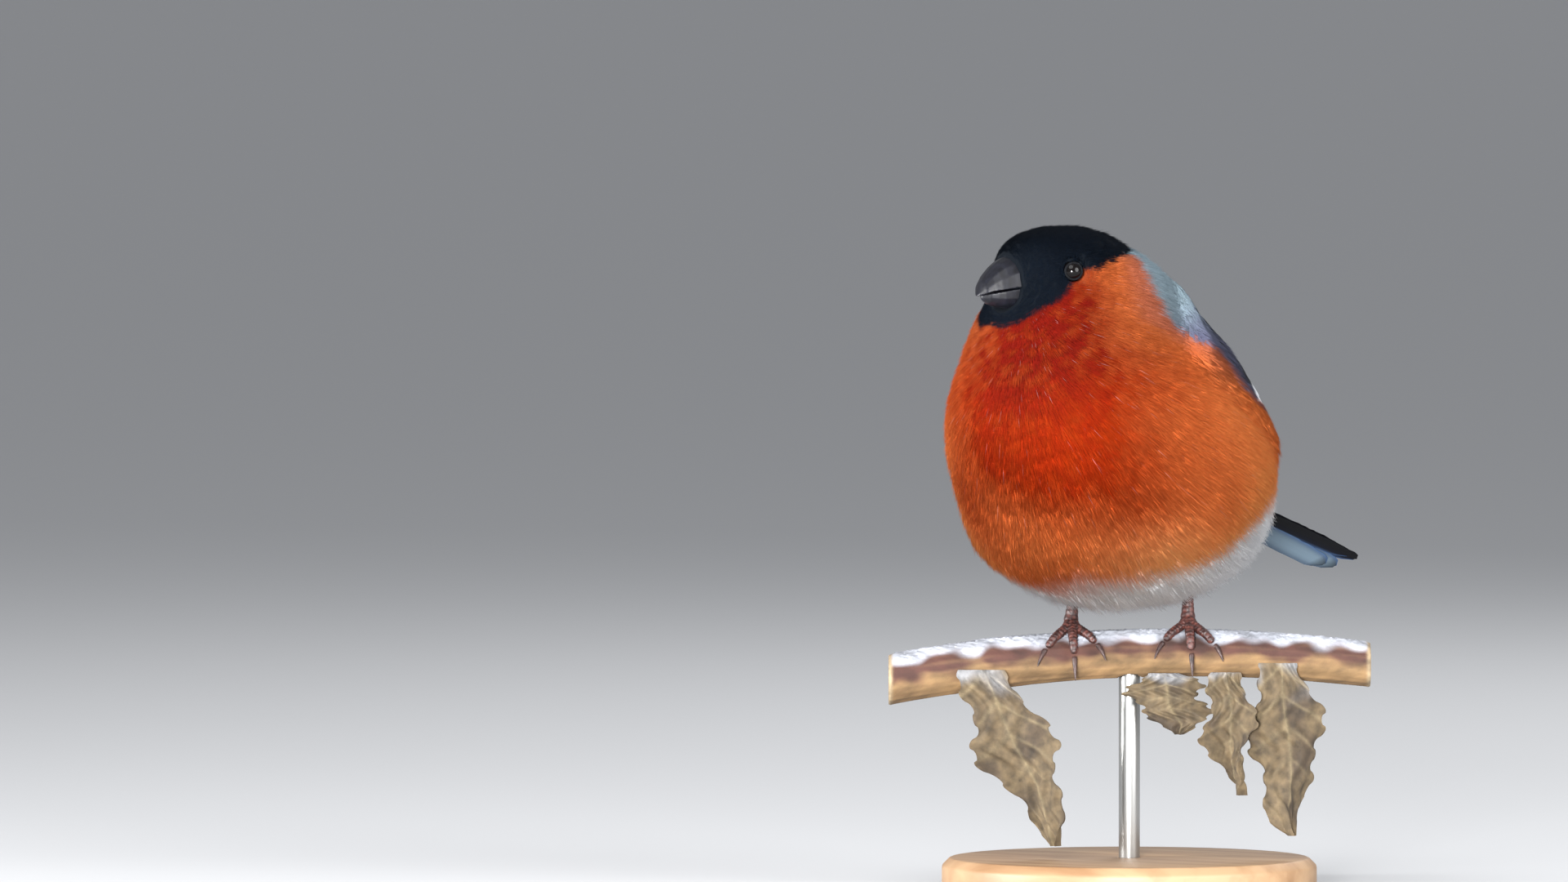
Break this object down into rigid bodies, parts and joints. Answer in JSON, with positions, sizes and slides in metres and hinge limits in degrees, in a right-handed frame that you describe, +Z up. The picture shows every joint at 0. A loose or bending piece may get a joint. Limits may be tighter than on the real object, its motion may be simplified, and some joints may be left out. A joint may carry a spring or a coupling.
{
  "type": "bullfinch figure on a stem",
  "caption": "Life-size fluffed-up male bullfinch with black cap, orange-red breast and folded wings, gripping a cut dry stem on a plain display stand.",
  "frame": {"origin": "middle of the underside of the stand's base", "axes": "+Z up, the bird's breast faces -Y and its left side is +X; the stem runs 35 degrees from +X towards +Y"},
  "size_m": [0.1035, 0.1487, 0.1631],
  "materials": {
    "cap": "glossy blue-black cap feathers, with orange cheeks",
    "breast": "soft orange-red body plumage",
    "vent": "white down under the tail",
    "wing": "satin black flight feathers with a pale grey bar",
    "tail": "satin blue-black vanes",
    "bill": "satin black horn",
    "eye": "glossy dark brown",
    "leg": "scaly red-brown skin",
    "claw": "dark horn",
    "stem": "dry bark, worn and fibrous",
    "leaf": "dry curled leaf",
    "stand_base": "plain oiled wood",
    "stand_rod": "brushed"
  },
  "bodies": {
    "root": {"bill_lower": "bill", "bill_upper": "bill", "claw_left_hind": "claw", "claw_left_inner": "claw", "claw_left_middle": "claw", "claw_left_outer": "claw", "claw_right_hind": "claw", "claw_right_inner": "claw", "claw_right_middle": "claw", "claw_right_outer": "claw", "eye_left": "eye", "eye_right": "eye", "head": "cap", "leg_left": "leg", "leg_right": "leg", "neck": "breast", "perch_leaf_curl": "leaf", "perch_leaf_left": "leaf", "perch_leaf_mid": "leaf", "perch_leaf_right": "leaf", "perch_stem": "stem", "stand_base": "stand_base", "stand_rod": "stand_rod", "tail": "tail", "torso": "breast", "undertail_coverts": "vent", "wing_left": "wing", "wing_right": "wing"}
  },
  "joints": []
}
